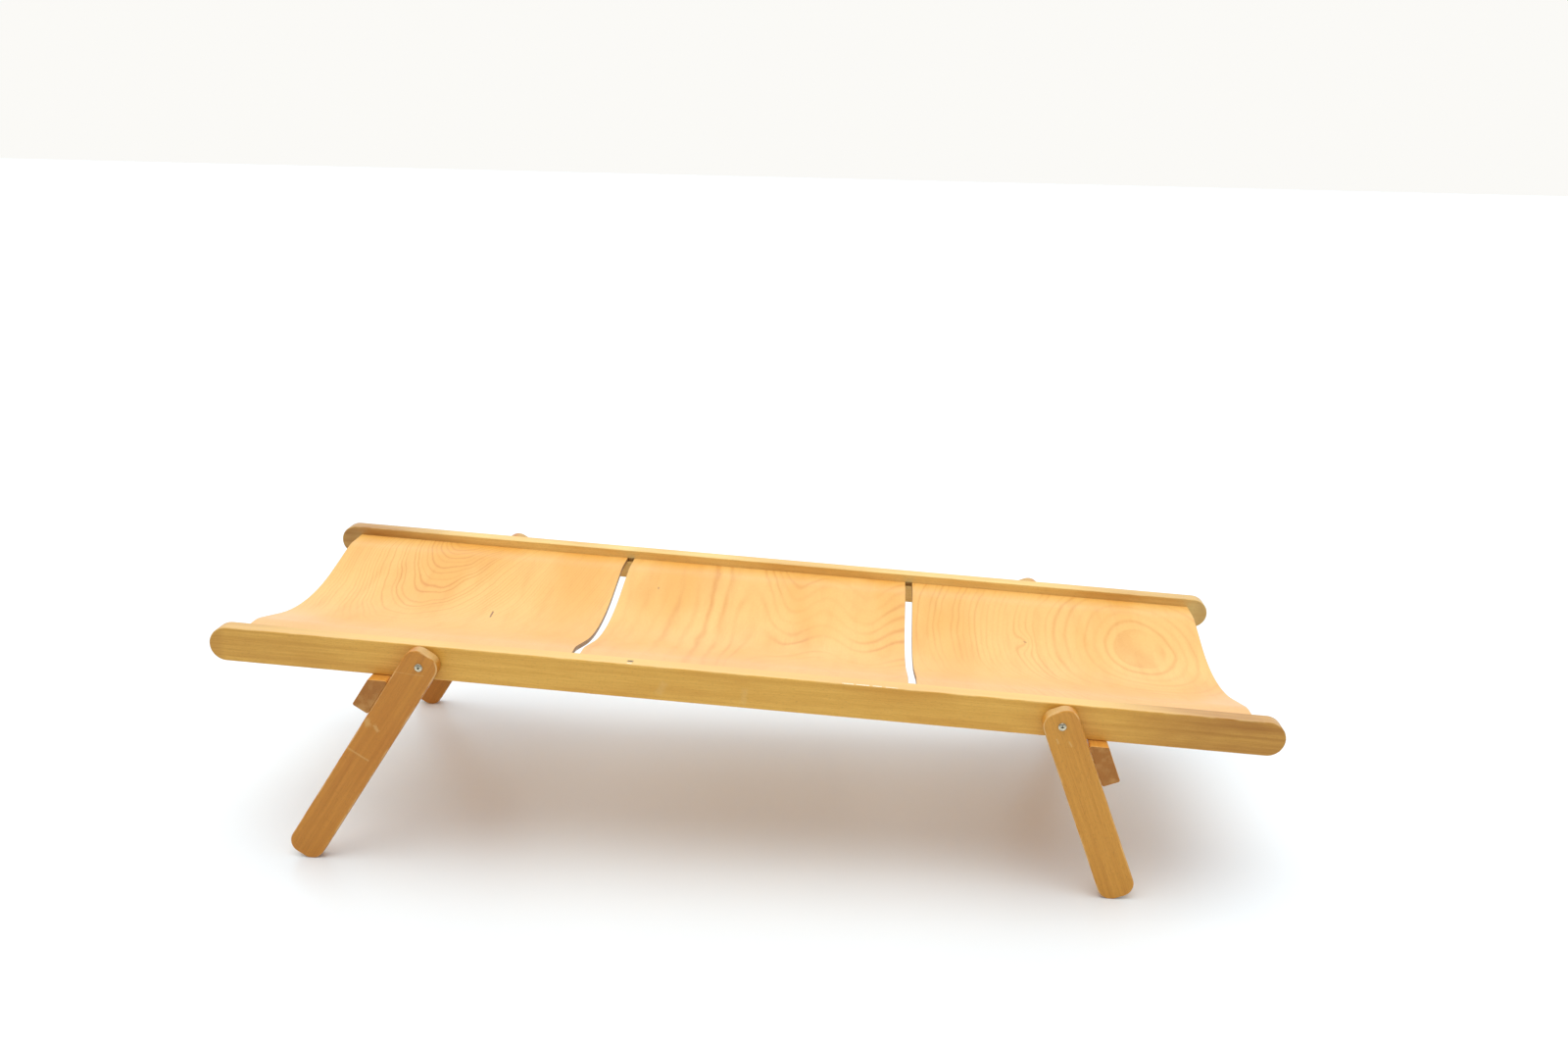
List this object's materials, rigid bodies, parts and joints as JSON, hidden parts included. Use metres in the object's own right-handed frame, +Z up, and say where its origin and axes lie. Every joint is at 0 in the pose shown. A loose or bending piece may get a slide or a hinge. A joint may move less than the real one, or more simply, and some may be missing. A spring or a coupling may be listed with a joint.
{
  "type": "folding guest bed",
  "caption": "Low folding guest bed: round-ended wood side rails, dished plywood panels and splayed bolted leg pairs with stretchers",
  "frame": {"origin": "on the floor under the middle of the bed", "axes": "+X along the bed towards the lower foot end, +Y across it, +Z up"},
  "size_m": [1.9476, 0.809, 0.4381],
  "materials": {
    "rail": "clear satin lacquer on straight-grained beech",
    "panel": "clear satin lacquer on beech-faced moulded plywood",
    "leg": "clear satin lacquer on beech",
    "stretcher": "clear satin lacquer on beech",
    "bolt": "bright zinc plating",
    "washer": "zinc plating",
    "insert": "bare brass",
    "screw": "zinc plating"
  },
  "bodies": {
    "deck": {"side_rail_front": "rail", "side_rail_back": "rail", "panel_head": "panel", "panel_middle": "panel", "panel_foot": "panel", "head_pivot_bolt_front": "bolt", "head_pivot_bolt_back": "bolt", "foot_pivot_bolt_front": "bolt", "foot_pivot_bolt_back": "bolt", "head_pivot_washer_front": "washer", "head_pivot_washer_back": "washer", "foot_pivot_washer_front": "washer", "foot_pivot_washer_back": "washer", "head_pivot_insert_front": "insert", "head_pivot_insert_back": "insert", "foot_pivot_insert_front": "insert", "foot_pivot_insert_back": "insert"},
    "head_leg_frame": {"head_leg_front": "leg", "head_leg_back": "leg", "head_stretcher": "stretcher", "head_stretcher_screw_front_upper": "screw", "head_stretcher_screw_front_lower": "screw", "head_stretcher_screw_back_upper": "screw", "head_stretcher_screw_back_lower": "screw"},
    "foot_leg_frame": {"foot_leg_front": "leg", "foot_leg_back": "leg", "foot_stretcher": "stretcher", "foot_stretcher_screw_front_upper": "screw", "foot_stretcher_screw_front_lower": "screw", "foot_stretcher_screw_back_upper": "screw", "foot_stretcher_screw_back_lower": "screw"}
  },
  "joints": [
    {"name": "head_leg_fold", "type": "hinge", "parent": "deck", "child": "head_leg_frame", "pos_m": [-0.57628, 0, 0.38784], "axis": [0, -1, 0], "range_deg": [0, 112]},
    {"name": "foot_leg_fold", "type": "hinge", "parent": "deck", "child": "foot_leg_frame", "pos_m": [0.57628, 0, 0.33016], "axis": [0, 1, 0], "range_deg": [0, 106]}
  ]
}
